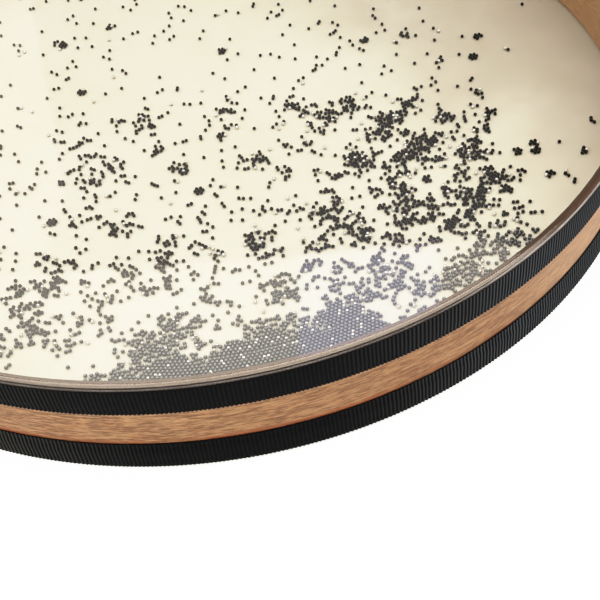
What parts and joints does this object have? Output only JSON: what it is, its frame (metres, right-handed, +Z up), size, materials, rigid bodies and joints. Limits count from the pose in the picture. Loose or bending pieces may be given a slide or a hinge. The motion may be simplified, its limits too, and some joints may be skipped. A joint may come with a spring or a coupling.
{
  "type": "ocean drum",
  "caption": "Shallow round drum with a clear head and a hide head on a bent wooden hoop, and loose steel shot between the heads that rolls with the sound of surf.",
  "frame": {"origin": "centre of the underside of the hide head, which the drum lies on", "axes": "+Z up through the clear head; -Y towards the viewer"},
  "size_m": [0.5607, 0.5608, 0.0672],
  "materials": {
    "hoop_wood": "thin satin oil",
    "clear_film": "clear polyester film, glossy",
    "hide": "scraped cream hide",
    "ribbed_tape": "black ribbed tape, matt with a slight sheen",
    "staple_wire": "galvanised",
    "dark_shot": "blackened steel",
    "bright_shot": "polished, slightly warm"
  },
  "bodies": {
    "drum": {"outer_ply": "hoop_wood", "middle_ply": "hoop_wood", "inner_ply": "hoop_wood", "clear_head": "clear_film", "skin_head": "hide", "upper_tape": "ribbed_tape", "lower_tape": "ribbed_tape", "upper_staples": "staple_wire", "lower_staples": "staple_wire"},
    "rim_shot": {"rim_dark_shot": "dark_shot", "rim_bright_shot": "bright_shot"},
    "rim_tossed_shot": {"rim_tossed_dark_shot": "dark_shot", "rim_tossed_bright_shot": "bright_shot"},
    "field_shot": {"field_dark_shot": "dark_shot", "field_bright_shot": "bright_shot"},
    "field_tossed_shot": {"field_tossed_dark_shot": "dark_shot", "field_tossed_bright_shot": "bright_shot"}
  },
  "joints": [
    {"name": "rim_swirl", "type": "hinge", "parent": "drum", "child": "rim_shot", "pos_m": [0, 0, 0], "axis": [0, 0, 1], "continuous": true},
    {"name": "field_swirl", "type": "hinge", "parent": "drum", "child": "field_shot", "pos_m": [0, 0, 0], "axis": [0, 0, 1], "continuous": true},
    {"name": "rim_toss", "type": "slide", "parent": "rim_shot", "child": "rim_tossed_shot", "axis": [0, 0, 1], "range_m": [0, 0.063]},
    {"name": "field_toss", "type": "slide", "parent": "field_shot", "child": "field_tossed_shot", "axis": [0, 0, 1], "range_m": [0, 0.063]}
  ]
}
